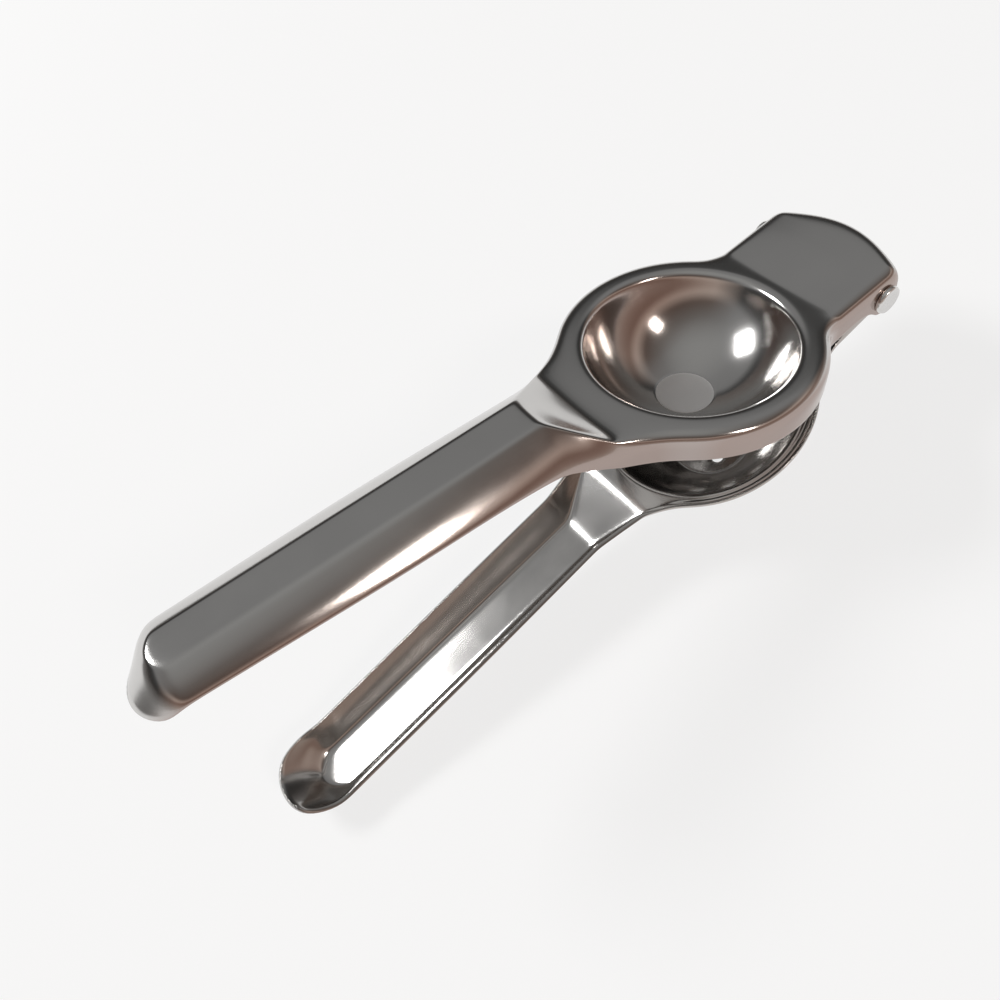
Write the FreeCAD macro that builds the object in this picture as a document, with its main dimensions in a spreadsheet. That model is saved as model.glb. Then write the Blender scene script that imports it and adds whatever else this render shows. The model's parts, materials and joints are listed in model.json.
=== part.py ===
import FreeCAD, Part
import math
import os
import Sketcher
from FreeCAD import Placement, Rotation, Vector

# Hinged lemon squeezer: two pressed levers on one cross rivet.
# Each lever is drawn in its own frame: origin at the middle of its bowl, on the top face of its
# flat plate, X towards the hinge, Z up. The levers are set in the open rest pose at the end.

DRIVING_SIZES = [
    ("sheet", 1.2, "thickness of the pressed sheet"),
    ("rest_opening", 21.3, "angle between the levers as they lie at rest, degrees"),
    ("closed_gap", 9.2, "lower plate below upper plate when the levers are shut"),
    # rivet
    ("pin_x", 49.7, "rivet axis from the middle of the bowls"),
    ("pin_drop", 3.35, "rivet axis below the upper plate's top face"),
    ("pin_radius", 2.5, "rivet shank"),
    ("pin_fit", 0.05, "running clearance of the shank in the lower ears"),
    ("head_radius", 3.8, "rivet head"),
    ("head_height", 1.6, "rivet head"),
    ("head_round", 0.5, "bevel round the rivet head's rim"),
    # upper lever
    ("ring_radius", 34.4, "outside of the upper skirt"),
    ("skirt_depth", 8.0, "skirt's lower edge below the plate"),
    ("shoulder", 2.6, "rounding from plate to skirt"),
    ("cup_sphere", 28.17, "inside radius of the squeezing cup"),
    ("cup_lift", 7.78, "centre of the cup's sphere above the plate"),
    ("cup_depth", 19.3, "flat bottom of the cup below the plate"),
    ("lip_round", 2.2, "rounding at the mouth of the cup"),
    ("cup_flange", 0.8, "flat band that the cup's section carries past its lip"),
    ("block_half", 20.4, "half width over the hinge flanges"),
    ("block_bend", 31.6, "where the hinge plate starts to rise"),
    ("block_rise", 10.5, "slope of the hinge plate, degrees"),
    ("block_end", 59.5, "tip of the hinge block"),
    ("block_bow", 36.0, "plan radius of the block's end"),
    ("block_corner", 3.2, "plan rounding of the block's corners"),
    ("junction_round", 6.0, "plan rounding between ring and hinge block"),
    ("web_radius", 33.8, "plan curve between neck and ring"),
    ("neck_x", 36.84, "crease between plate and neck"),
    ("neck_half", 15.6, "half width of the plate at that crease"),
    ("neck_outer", 17.0, "half width of the neck's skirt at that crease"),
    ("neck_edge_drop", 1.2, "rounded edge of the neck below the plate"),
    ("grip_x", 50.55, "where the flat top of the handle starts"),
    ("grip_height", 7.66, "handle's flat top there"),
    ("grip_half", 4.97, "half width of the flat top there"),
    ("grip_rim_half", 13.2, "half width over the handle's rims there"),
    ("grip_rim_z", 0.4, "height of the side wall's bend there"),
    ("grip_foot_half", 14.0, "half width at the foot of the wall there"),
    ("mid_x", 90.0, "middle of the handle"),
    ("mid_rim_half", 13.6, "half width over the rims there"),
    ("mid_foot_half", 13.8, "half width at the foot of the wall there"),
    ("tail_x", 142.0, "where the handle's sides turn into its nose"),
    ("tail_height", 3.7, "handle's flat top there"),
    ("tail_half", 4.7, "half width of the flat top there"),
    ("tail_rim_half", 11.7, "half width over the rims there"),
    ("tail_rim_drop", 0.8, "bend of the side wall below the plate there"),
    ("tail_foot_half", 11.2, "half width at the foot of the wall there"),
    ("nose_top_x", 144.3, "tip of the flat top"),
    ("nose_rim_x", 148.3, "tip of the nose at the bend of the walls"),
    ("nose_foot_x", 153.0, "tip of the nose at its lip"),
    ("nose_depth", 6.0, "nose lip below the plate"),
    ("foot_z", 6.6, "level of the handle's foot outline below the plate"),
    ("nose_step_x", 146.5, "where the nose's lip steps up to the side rims"),
    ("nose_step_run", 2.5, "length of that step"),
    ("tongue_x", 56.0, "where the rim starts to drop towards the skirt"),
    ("tongue_run", 8.0, "length of the first part of that drop"),
    ("tongue_drop", 2.4, "rim below the plate at its end"),
    ("arch_x", 30.5, "where the skirt's edge rises under the hinge flange"),
    ("arch_run", 10.0, "length of that rise"),
    ("arch_rise", 2.8, "height of that rise"),
    ("upper_ear_radius", 5.0, "flange round the rivet"),
    ("end_lip_z", 0.6, "lower edge of the lip over the hinge's end"),
    # lower lever
    ("low_ring_radius", 32.4, "outside of the lower rim"),
    ("low_rim_height", 2.1, "turned-up rim above the lower plate"),
    ("low_edge_round", 2.4, "rounding under the rim"),
    ("bowl_sphere", 27.6, "inside radius of the bowl"),
    ("bowl_lift", 2.5, "centre of the bowl's sphere above the plate"),
    ("bowl_depth", 22.6, "flat bottom of the bowl below the plate"),
    ("bowl_lip_round", 1.6, "rounding at the mouth of the bowl"),
    ("ear_half", 18.2, "half width over the ears"),
    ("ear_radius", 4.8, "ear round the rivet"),
    ("ear_end", 51.0, "end of the plate between the ears"),
    ("ear_bow", 200.0, "plan radius of that end"),
    ("ear_corner", 5.0, "plan rounding of its corners"),
    ("ear_foot_x", 35.0, "where the rim starts to rise to the ear"),
    ("low_step_x", 150.5, "where the nose's lip steps down to the side rims"),
    ("low_step_run", 4.5, "length of that step"),
    ("drain_count", 6, "drain holes round the middle one"),
    ("drain_ring", 6.4, "circle on which they lie"),
    ("drain_radius", 1.75, "drain hole"),
    ("low_junction_round", 7.0, "plan rounding between ring and ears"),
    ("low_web_radius", 24.0, "plan curve between neck and ring"),
    ("low_neck_x", 33.35, "crease between plate and neck"),
    ("low_neck_half", 13.2, "half width inside the neck at that crease"),
    ("low_neck_outer", 14.6, "half width over the neck's rim at that crease"),
    ("low_grip_x", 48.7, "where the trough's floor starts"),
    ("low_grip_depth", 6.5, "trough's floor below the plate there"),
    ("low_grip_half", 5.8, "half width of the floor there"),
    ("low_grip_rim_half", 10.6, "half width inside the rims there"),
    ("low_mid_x", 90.0, "middle of the trough"),
    ("low_mid_rim_half", 11.1, "half width inside the rims there"),
    ("low_tail_x", 145.5, "where the trough's sides turn into its nose"),
    ("low_tail_depth", 5.05, "trough's floor below the plate there"),
    ("low_tail_half", 6.2, "half width of the floor there"),
    ("low_tail_rim_half", 11.1, "half width inside the rims there"),
    ("low_tail_lip_half", 11.6, "half width inside the walls at the lip level there"),
    ("low_nose_floor_x", 150.0, "tip of the trough's floor"),
    ("low_nose_rim_x", 154.6, "tip of the nose at the rim's level"),
    ("low_nose_lip_x", 158.2, "tip of the nose at its lip"),
    ("low_nose_height", 6.4, "nose lip above the lower plate"),
    ("low_lip_z", 7.0, "level of the nose's upper outline above the lower plate"),
]

doc = FreeCAD.newDocument("LemonSqueezer")
sizes = doc.addObject("Spreadsheet::Sheet", "Sizes")
for row, (alias, value, note) in enumerate(DRIVING_SIZES, start=1):
    sizes.set("A%d" % row, alias)
    sizes.set("B%d" % row, str(value))
    sizes.setAlias("B%d" % row, alias)
    sizes.set("C%d" % row, note)
doc.recompute()


def size(name):
    """Value of one cell of the sheet."""
    return float(sizes.get(name))


def amount(text):
    """Number that a sum of cells comes to, such as 'neck_x - sheet'."""
    total = 0.0
    sign = 1.0
    for word in text.split():
        if word == "+":
            sign = 1.0
        elif word == "-":
            sign = -1.0
        else:
            total += sign * (float(word) if word[0].isdigit() else size(word))
            sign = 1.0
    return total


def formula(text):
    """The same sum as an expression that reads the sheet."""
    words = []
    for word in text.split():
        is_cell = word[0].isalpha()
        words.append("Sizes." + word if is_cell else word)
    return " ".join(words)


def pin_point(sketch, geo, pos, x, y):
    """Hold a point of a sketch at the place that two sums of cells give."""
    if abs(amount(x)) < 1e-9:
        sketch.addConstraint(Sketcher.Constraint("PointOnObject", geo, pos, -2))
    else:
        index = sketch.addConstraint(Sketcher.Constraint("DistanceX", -1, 1, geo, pos, amount(x)))
        sketch.setExpression("Constraints[%d]" % index, formula(x))
    if abs(amount(y)) < 1e-9:
        sketch.addConstraint(Sketcher.Constraint("PointOnObject", geo, pos, -1))
    else:
        index = sketch.addConstraint(Sketcher.Constraint("DistanceY", -1, 1, geo, pos, amount(y)))
        sketch.setExpression("Constraints[%d]" % index, formula(y))


def outline(name, start, steps, placement):
    """Closed sketch from a start point through lines (x, y) and arcs (via x, via y, x, y)."""
    sketch = doc.addObject("Sketcher::SketchObject", name)
    sketch.Placement = placement
    here = start
    ends = []
    for step in steps:
        there = step[-2:]
        a = Vector(amount(here[0]), amount(here[1]), 0)
        b = Vector(amount(there[0]), amount(there[1]), 0)
        if len(step) == 2:
            geo = sketch.addGeometry(Part.LineSegment(a, b), False)
            ends.append((geo, 1, 2))
        else:
            via = Vector(amount(step[0]), amount(step[1]), 0)
            curve = Part.Arc(a, via, b)
            geo = sketch.addGeometry(curve, False)
            start_first = (sketch.Geometry[geo].StartPoint - a).Length < 1e-6
            ends.append((geo, 1, 2) if start_first else (geo, 2, 1))
            mark = sketch.addGeometry(Part.Point(via), True)
            pin_point(sketch, mark, 1, step[0], step[1])
            sketch.addConstraint(Sketcher.Constraint("PointOnObject", mark, 1, geo))
        pin_point(sketch, geo, ends[-1][1], here[0], here[1])
        here = there
    for (geo, first, last), (other, other_first, other_last) in zip(ends, ends[1:] + ends[:1]):
        sketch.addConstraint(Sketcher.Constraint("Coincident", geo, last, other, other_first))
    return sketch


def raised(sketch, name, below, above):
    """Straight solid over a sketch, from `below` under its plane to `above` over it."""
    solid = doc.addObject("Part::Extrusion", name)
    solid.Base = sketch
    solid.DirMode = "Custom"
    solid.Dir = Vector(0, 0, 1)
    solid.Solid = True
    solid.setExpression("LengthFwd", formula(above))
    solid.setExpression("LengthRev", formula(below))
    return solid


def loft(name, sections):
    solid = doc.addObject("Part::Loft", name)
    solid.Sections = sections
    solid.Solid = True
    solid.Ruled = True
    return solid


def fuse(name, shapes):
    solid = doc.addObject("Part::MultiFuse", name)
    solid.Shapes = shapes
    solid.Refine = True
    return solid


def cut(name, base, tool):
    solid = doc.addObject("Part::Cut", name)
    solid.Base = base
    solid.Tool = tool
    solid.Refine = True
    return solid


def common(name, shapes):
    solid = doc.addObject("Part::MultiCommon", name)
    solid.Shapes = shapes
    return solid


def rounded(name, base, picks):
    """Fillet the edges that each pick (test, cell) chooses on a finished shape."""
    doc.recompute()
    edges = []
    for number, edge in enumerate(base.Shape.Edges, start=1):
        for test, radius in picks:
            if test(edge):
                edges.append((number, radius, radius))
                break
    solid = doc.addObject("Part::Fillet", name)
    solid.Base = base
    solid.Edges = edges
    return solid


def flat_at(height):
    return Placement(Vector(0, 0, height), Rotation())


def across_at(x):
    """Plane across the lever: sketch x is the lever's Y, sketch y its Z."""
    return Placement(Vector(x, 0, 0), Rotation(Vector(0, 1, 0), Vector(0, 0, 1), Vector(1, 0, 0), "ZXY"))


def side_plane():
    """Plane along the lever: sketch x is the lever's X, sketch y its Z."""
    return Placement(Vector(0, 0, 0), Rotation(Vector(1, 0, 0), 90))


def tilted(x, height, angle):
    """Plane that falls away along -X from a line across the lever."""
    return Placement(Vector(x, 0, height), Rotation(Vector(0, 1, 0), angle))


def tangent_web(ring, web, neck_x, neck_half):
    """Plan arc that leaves the neck's corner and meets the ring as a tangent, outside it."""
    reach = ring + web
    corner = Vector(-neck_x, neck_half, 0)
    distance = corner.Length
    # the arc's centre is `web` from the corner and `reach` from the middle of the ring
    along = (reach ** 2 - web ** 2 + distance ** 2) / (2 * distance)
    off = math.sqrt(reach ** 2 - along ** 2)
    out = corner * (1 / distance)
    side = Vector(-out.y, out.x, 0)
    first, second = out * along + side * off, out * along - side * off
    centre = first if first.y > second.y else second
    touch = centre * (ring / reach)
    middle = (corner - centre).normalize() + (touch - centre).normalize()
    via = centre + middle.normalize() * web
    return corner, via, touch


def tangent_junction(ring, fillet, half):
    """Plan arc between the ring and a straight side at y = half."""
    centre = Vector(0, half + fillet, 0)
    centre.x = math.sqrt((ring + fillet) ** 2 - centre.y ** 2)
    touch = centre * (ring / (ring + fillet))
    foot = Vector(centre.x, half, 0)
    middle = (touch - centre).normalize() + (foot - centre).normalize()
    via = centre + middle.normalize() * fillet
    return touch, via, foot


def tangent_corner(bow_x, bow, half, corner):
    """Plan arc between a straight side at y = half and the bowed end, centred at x = bow_x."""
    centre = Vector(bow_x + math.sqrt((bow - corner) ** 2 - (half - corner) ** 2), half - corner, 0)
    foot = Vector(centre.x, half, 0)
    touch = Vector(bow_x, 0, 0) + (centre - Vector(bow_x, 0, 0)) * (bow / (bow - corner))
    middle = (foot - centre).normalize() + (touch - centre).normalize()
    via = centre + middle.normalize() * corner
    return foot, via, touch


def mirrored(point):
    return Vector(point.x, -point.y, 0)


def plan_wire(points_and_arcs):
    edges = []
    here = points_and_arcs[0]
    for step in points_and_arcs[1:]:
        if isinstance(step, tuple):
            via, there = step
            edges.append(Part.Arc(here, via, there).toShape())
        else:
            there = step
            edges.append(Part.LineSegment(here, there).toShape())
        here = there
    return Part.Wire(edges)


def plan(name, ring, web, neck_x, neck_half, junction, half, end_x, bow, corner):
    """Plan outline of a lever's head: neck, ring and hinge end."""
    neck, web_via, web_touch = tangent_web(ring, web, neck_x, neck_half)
    leave, junction_via, foot = tangent_junction(ring, junction, half)
    top = Vector(0, ring, 0)
    side_end, corner_via, corner_end = tangent_corner(end_x - bow, bow, half, corner)
    route = [mirrored(neck), neck, (web_via, web_touch), (round_point(ring, web_touch, top), top)]
    route += [(round_point(ring, top, leave), leave), (junction_via, foot), side_end]
    route += [(corner_via, corner_end), (Vector(end_x, 0, 0), mirrored(corner_end))]
    route += [(mirrored(corner_via), mirrored(side_end)), mirrored(foot)]
    route += [(mirrored(junction_via), mirrored(leave))]
    route += [(mirrored(round_point(ring, top, leave)), mirrored(top))]
    route += [(mirrored(round_point(ring, web_touch, top)), mirrored(web_touch))]
    route += [(mirrored(web_via), mirrored(neck))]
    wire = doc.addObject("Part::Feature", name)
    wire.Shape = plan_wire(route)
    return wire


def round_point(radius, first, second):
    middle = first + second
    return middle.normalize() * radius


def box_between(name, low, high):
    box = doc.addObject("Part::Box", name)
    box.Length = high[0] - low[0]
    box.Width = high[1] - low[1]
    box.Height = high[2] - low[2]
    box.Placement = Placement(Vector(*low), Rotation())
    return box


REACH = 60.0      # half size of the blocks that only cut material away
BELOW = "skirt_depth + 2"


# Upper lever

def upper_form(tag, wall):
    """Outer form of the upper lever (wall '0') or the hollow under it (wall 'sheet')."""
    thick = amount(wall)
    base = plan(tag + "_plan", size("ring_radius") - thick, size("web_radius") + thick,
                size("neck_x"), size("neck_outer") - 1.05 * thick,
                size("junction_round") + thick, size("block_half") - thick,
                size("block_end") - thick, size("block_bow") - thick, size("block_corner") - thick)
    plate = raised(base, tag + "_plate", BELOW + " + " + wall, "0 - " + wall)
    tall = raised(base, tag + "_tall", BELOW, "skirt_depth")
    # the slope of the hinge plate
    slope = Rotation(Vector(0, 1, 0), -size("block_rise"))
    above = box_between(tag + "_above", (-REACH, -REACH, 0), (REACH, REACH, REACH))
    above.Placement = Placement(Vector(size("block_bend"), 0, -thick), slope).multiply(above.Placement)
    before = box_between(tag + "_before", (-2 * REACH, -REACH, -REACH), (size("block_bend"), REACH, REACH))
    rising = cut(tag + "_rising", cut(tag + "_behind", tall, before), above)
    head = fuse(tag + "_head", [plate, rising])
    return head


def head_edge(edge, ring, level):
    """Top edges round the head's outline, but not the crease to the neck or the plate's bend."""
    first, last = edge.FirstParameter, edge.LastParameter
    middle = edge.valueAt((first + last) / 2)
    for point in (edge.valueAt(first), edge.valueAt(last), middle):
        if point.z < level - 1e-3:
            return False
    on_bend = abs(middle.y) < 1.0 and middle.x < size("block_bend") + 1
    on_crease = middle.x < 0.5 - size("neck_x")
    return math.hypot(middle.x, middle.y) > ring - 4 and not on_bend and not on_crease


def handle_wire(name, places, heights):
    """Outline round the handle; places are (x, half width) at grip, middle and tail, then the tip."""
    (x0, half0), (x1, half1), (x2, half2), tip = places
    (xa, za), (xb, zb) = heights

    def on_plane(x, y):
        return Vector(x, y, za + (zb - za) * (x - xa) / (xb - xa))

    start = on_plane(x0, -half0)
    route = [start, on_plane(x0, half0)]
    if abs(half1 - (half0 + half2) / 2) < 1e-6:
        route.append(on_plane(x2, half2))
    else:
        route.append((on_plane(x1, half1), on_plane(x2, half2)))
    route.append((on_plane(tip, 0), on_plane(x2, -half2)))
    if abs(half1 - (half0 + half2) / 2) < 1e-6:
        route.append(start)
    else:
        route.append((on_plane(x1, -half1), start))
    wire = doc.addObject("Part::Feature", name)
    wire.Shape = plan_wire(route)
    return wire


def section_wire(name, x, points):
    """Closed section across the lever through points (half width, height), mirrored."""
    corners = [Vector(x, -half, z) for half, z in points]
    corners += [Vector(x, half, z) for half, z in reversed(points)]
    wire = doc.addObject("Part::Feature", name)
    wire.Shape = Part.makePolygon(corners + corners[:1])
    return wire


def upper_handle(tag, inside):
    """Three-level form of the handle and its neck; `inside` gives the hollow's smaller form."""
    t = size("sheet") if inside else 0.0
    top_in, top_down, bend_in, bend_down = 0.34 * t, t, t, 0.5 * t
    x0, x1, x2 = -size("grip_x"), -size("mid_x"), -size("tail_x")
    top = handle_wire(
        tag + "_top",
        [(x0, size("grip_half") - top_in), (x1, 0.5 * (size("grip_half") + size("tail_half")) - top_in),
         (x2, size("tail_half") - top_in), -size("nose_top_x") + 0.4 * t],
        [(x0, size("grip_height") - top_down), (x2, size("tail_height") - top_down)])
    bend = handle_wire(
        tag + "_bend",
        [(x0, size("grip_rim_half") - bend_in), (x1, size("mid_rim_half") - bend_in),
         (x2, size("tail_rim_half") - bend_in), -size("nose_rim_x") + 0.9 * t],
        [(x0, size("grip_rim_z") - bend_down), (x2, -size("tail_rim_drop") - bend_down)])
    foot_z = -size("foot_z") - t
    foot = handle_wire(
        tag + "_foot",
        [(x0, size("grip_foot_half") - bend_in), (x1, size("mid_foot_half") - bend_in),
         (x2, size("tail_foot_half") - bend_in), -size("nose_foot_x") + 0.6 * t],
        [(x0, foot_z), (x2, foot_z)])
    grip = loft(tag + "_grip", [top, bend, foot])
    first = section_wire(tag + "_neck_low", x0, [
        (size("grip_foot_half") - bend_in, foot_z),
        (size("grip_rim_half") - bend_in, size("grip_rim_z") - bend_down),
        (size("grip_half") - top_in, size("grip_height") - top_down)])
    second = section_wire(tag + "_neck_high", -size("neck_x"), [
        (size("neck_outer") - bend_in, foot_z),
        (size("neck_outer") - bend_in, -size("neck_edge_drop") - 0.7 * t),
        (size("neck_half") - 0.6 * t, -t)])
    neck = loft(tag + "_neck", [first, second])
    return [grip, neck]


def side_prism(name, route, half=REACH):
    """Solid across the lever whose side view is a closed route of (x, z) points and arcs."""

    def at(place):
        return Vector(place[0], -half, place[1])

    steps = [at(route[0])]
    for step in route[1:]:
        steps.append((at(step[0]), at(step[1])) if isinstance(step[0], tuple) else at(step))
    steps.append(at(route[0]))
    solid = doc.addObject("Part::Feature", name)
    solid.Shape = Part.Face(plan_wire(steps)).extrude(Vector(0, 2 * half, 0))
    return solid


def cup_form(tag, radius, lift, low, lip):
    """Cup with a flat bottom and a rolled lip, turned from its half section, and the drum it fills."""
    t = size("sheet")
    reach = radius + lip
    lip_middle = Vector(math.sqrt(reach ** 2 - (lift + lip) ** 2), 0, -lip)
    top = Vector(0, 0, lift)
    flange = size("cup_flange")

    def on_ball(ball, level):
        return Vector(math.sqrt(ball ** 2 - (level - lift) ** 2), 0, level)

    def half_way(middle, curve, first, second):
        out = (first - middle).normalize() + (second - middle).normalize()
        return middle + out.normalize() * curve

    inner_touch = top + (lip_middle - top) * (radius / reach)
    outer_touch = top + (lip_middle - top) * ((radius + t) / reach)
    inner_foot = on_ball(radius, low)
    outer_foot = on_ball(radius + t, low - t)
    crest = Vector(lip_middle.x, 0, 0)
    under = Vector(lip_middle.x, 0, -t)
    route = [Vector(0, 0, low), inner_foot,
             (half_way(top, radius, inner_foot, inner_touch), inner_touch),
             (half_way(lip_middle, lip, inner_touch, crest), crest),
             crest + Vector(flange, 0, 0), under + Vector(flange, 0, 0), under,
             (half_way(lip_middle, lip - t, under, outer_touch), outer_touch),
             (half_way(top, radius + t, outer_touch, outer_foot), outer_foot),
             Vector(0, 0, low - t), Vector(0, 0, low)]
    section = doc.addObject("Part::Feature", tag + "_section")
    section.Shape = Part.Face(plan_wire(route))
    cup = doc.addObject("Part::Revolution", tag)
    cup.Source = section
    cup.Axis = Vector(0, 0, 1)
    cup.Angle = 360
    drum = doc.addObject("Part::Cylinder", tag + "_drum")
    drum.Radius = lip_middle.x + flange
    drum.Height = 4 * t
    drum.Placement = flat_at(-3 * t)
    return cup, drum


def cross_bore(name, x, z, radius, half):
    bore = doc.addObject("Part::Cylinder", name)
    bore.Radius = radius
    bore.Height = 2 * half
    bore.Placement = Placement(Vector(x, half, z), Rotation(Vector(1, 0, 0), 90))
    return bore


def on_circle(centre, radius, degrees):
    angle = math.radians(degrees)
    return (centre[0] + radius * math.cos(angle), centre[1] + radius * math.sin(angle))


# Upper lever: the outside, less its hollow, plus the cup, less what the press trims off below
t = size("sheet")
upper_head = upper_form("upper", "0")
upper_outside = rounded("upper_outside", upper_head, [
    (lambda e: head_edge(e, size("ring_radius"), 0.0), size("shoulder"))])
upper_solid = fuse("upper_solid", [upper_outside] + upper_handle("upper_handle", False))
hollow_head = upper_form("hollow", "sheet")
hollow_outside = rounded("hollow_outside", hollow_head, [
    (lambda e: head_edge(e, size("ring_radius") - t, -t), size("shoulder") - t)])
hollow_solid = fuse("hollow_solid", [hollow_outside] + upper_handle("hollow_handle", True))
upper_pressing = cut("upper_pressing", upper_solid, hollow_solid)

pin = (size("pin_x"), -size("pin_drop"))
ear = size("upper_ear_radius")
low = -size("skirt_depth") - 4 * t
upper_trim = side_prism("upper_trim", [
    (-3 * REACH, low), (-3 * REACH, -size("nose_depth")),
    (-size("nose_step_x"), -size("nose_depth")),
    (-size("nose_step_x") + size("nose_step_run"), -size("tail_rim_drop") - 0.2),
    (-size("tongue_x"), size("grip_rim_z") - 0.3),
    (-size("tongue_x") + size("tongue_run"), -size("tongue_drop")),
    (-size("neck_x"), -size("skirt_depth") + 0.6),
    (-size("neck_x") + 3 * t, -size("skirt_depth")),
    (size("arch_x"), -size("skirt_depth")),
    (size("arch_x") + size("arch_run"), -size("skirt_depth") + size("arch_rise")),
    on_circle(pin, ear, 205),
    (on_circle(pin, ear, 270), on_circle(pin, ear, 335)),
    (size("pin_x") + ear, size("end_lip_z")),
    (2 * REACH, size("end_lip_z")), (2 * REACH, low)])
end_trim = side_prism("end_trim", [
    (size("pin_x"), low), (size("pin_x"), size("end_lip_z")),
    (2 * REACH, size("end_lip_z")), (2 * REACH, low)], size("block_half") - t)
upper_trimmed = cut("upper_trimmed", upper_pressing, fuse("upper_trims", [upper_trim, end_trim]))
cup, cup_seat = cup_form("cup", size("cup_sphere"), size("cup_lift"), -size("cup_depth"), size("lip_round"))
upper_cup = fuse("upper_cup", [cut("upper_ring", upper_trimmed, cup_seat), cup])
flanges = []
for number, side in enumerate((-1, 1)):
    disc = doc.addObject("Part::Cylinder", "flange_%d" % number)
    disc.setExpression("Radius", "Sizes.upper_ear_radius")
    disc.setExpression("Height", "Sizes.sheet")
    start = side * (size("block_half") - 0.5 * t) + 0.5 * t
    disc.Placement = Placement(Vector(pin[0], start, pin[1]), Rotation(Vector(1, 0, 0), 90))
    flanges.append(disc)
upper_flanged = fuse("upper_flanged", [upper_cup] + flanges)
upper_lever = cut("upper_lever", upper_flanged, cross_bore(
    "upper_bore", pin[0], pin[1], size("pin_radius") + 0.5 * size("pin_fit"), REACH))
doc.recompute()


# Lower lever

def lower_form(tag, thick, end_x):
    """Outer form of the lower lever's head, or the tray inside it when `thick` is the sheet."""
    base = plan(tag + "_plan", size("low_ring_radius") - thick, size("low_web_radius") + thick,
                size("low_neck_x"), size("low_neck_outer") - 1.1 * thick,
                size("low_junction_round") + thick, size("ear_half") - thick,
                end_x, size("ear_bow"), size("ear_corner"))
    bottom = 0.0 if thick else -size("sheet")
    tray = doc.addObject("Part::Extrusion", tag + "_tray")
    tray.Base = base
    tray.DirMode = "Custom"
    tray.Dir = Vector(0, 0, 1)
    tray.Solid = True
    tray.LengthFwd = 3 * size("ear_radius")
    tray.LengthRev = -bottom
    return tray, bottom


def tray_edge(edge, level):
    """Edges round the underside of a tray, but not the crease to the neck."""
    middle = edge.valueAt((edge.FirstParameter + edge.LastParameter) / 2)
    flat = abs(edge.BoundBox.ZMax - level) < 1e-3
    return flat and middle.x > 0.5 - size("low_neck_x") and abs(middle.y) > 1.0


def lower_handle(tag, outside):
    """Three-level form of the trough; `outside` gives the larger form that holds the sheet."""
    t = size("sheet") if outside else 0.0
    floor_out, floor_down, wall_out = 0.5 * t, t, t
    x0, x1, x2 = -size("low_grip_x"), -size("low_mid_x"), -size("low_tail_x")
    floor_mid = 0.5 * (size("low_grip_half") + size("low_tail_half"))
    floor = handle_wire(
        tag + "_floor",
        [(x0, size("low_grip_half") + floor_out), (x1, floor_mid + floor_out),
         (x2, size("low_tail_half") + floor_out), -size("low_nose_floor_x") - 0.5 * t],
        [(x0, -size("low_grip_depth") - floor_down), (x2, -size("low_tail_depth") - floor_down)])
    rim_z = size("low_rim_height") - 0.35 * t
    rim = handle_wire(
        tag + "_rim",
        [(x0, size("low_grip_rim_half") + wall_out), (x1, size("low_mid_rim_half") + wall_out),
         (x2, size("low_tail_rim_half") + wall_out), -size("low_nose_rim_x") - 1.1 * t],
        [(x0, rim_z), (x2, rim_z)])
    lip_z = size("low_lip_z") + (0.0 if outside else 1.0)
    lip = handle_wire(
        tag + "_lip",
        [(x0, size("low_grip_rim_half") + wall_out), (x1, size("low_mid_rim_half") + wall_out),
         (x2, size("low_tail_lip_half") + wall_out), -size("low_nose_lip_x") - 1.1 * t],
        [(x0, lip_z), (x2, lip_z)])
    grip = loft(tag + "_grip", [floor, rim, lip])
    first = section_wire(tag + "_neck_far", x0, [
        (size("low_grip_rim_half") + wall_out, lip_z),
        (size("low_grip_rim_half") + wall_out, rim_z),
        (size("low_grip_half") + floor_out, -size("low_grip_depth") - floor_down)])
    second = section_wire(tag + "_neck_near", -size("low_neck_x"), [
        (size("low_neck_half") + wall_out, lip_z),
        (size("low_neck_half") + wall_out, 0.4 * size("low_rim_height")),
        (size("low_neck_half") - 0.4 * size("low_rim_height") + 0.6 * t, -floor_down)])
    neck = loft(tag + "_neck", [first, second])
    return [grip, neck]


lower_tray, lower_bottom = lower_form("lower", 0.0, size("ear_end"))
lower_outside = rounded("lower_outside", lower_tray, [
    (lambda e: tray_edge(e, lower_bottom) and e.BoundBox.XMin < size("ear_end") - 2, size("low_edge_round"))])
lower_solid = fuse("lower_solid", [lower_outside] + lower_handle("lower_handle", True))
room_tray, room_bottom = lower_form("room", t, size("ear_end") + REACH / 4)
room_outside = rounded("room_outside", room_tray, [
    (lambda e: tray_edge(e, room_bottom) and e.BoundBox.XMin < size("ear_end") - 2,
     size("low_edge_round") - t)])
room_solid = fuse("room_solid", [room_outside] + lower_handle("room_handle", False))
lower_pressing = cut("lower_pressing", lower_solid, room_solid)

bowl, bowl_seat = cup_form("bowl", size("bowl_sphere"), size("bowl_lift"), -size("bowl_depth"),
                           size("bowl_lip_round"))
lower_bowl = fuse("lower_bowl", [cut("lower_ring", lower_pressing, bowl_seat), bowl])

low_pin = (size("pin_x"), size("closed_gap") - size("pin_drop"))
low_ear = size("ear_radius")
high = low_pin[1] + 3 * low_ear
rim_z = size("low_rim_height")
ear_foot = (size("ear_foot_x"), rim_z)
run = math.hypot(low_pin[0] - ear_foot[0], low_pin[1] - ear_foot[1])
lean = math.degrees(math.atan2(low_pin[1] - ear_foot[1], low_pin[0] - ear_foot[0]))
touch = lean + 90 + math.degrees(math.asin(low_ear / run))
lower_trim = side_prism("lower_trim", [
    (-3 * REACH, high), (-3 * REACH, size("low_nose_height")),
    (-size("low_step_x"), size("low_nose_height")),
    (-size("low_step_x") + size("low_step_run"), rim_z),
    ear_foot,
    on_circle(low_pin, low_ear, touch),
    (on_circle(low_pin, low_ear, 60), on_circle(low_pin, low_ear, 0)),
    (low_pin[0] + low_ear, rim_z), (2 * REACH, rim_z), (2 * REACH, high)])
lower_trimmed = cut("lower_trimmed", lower_bowl, lower_trim)
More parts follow.
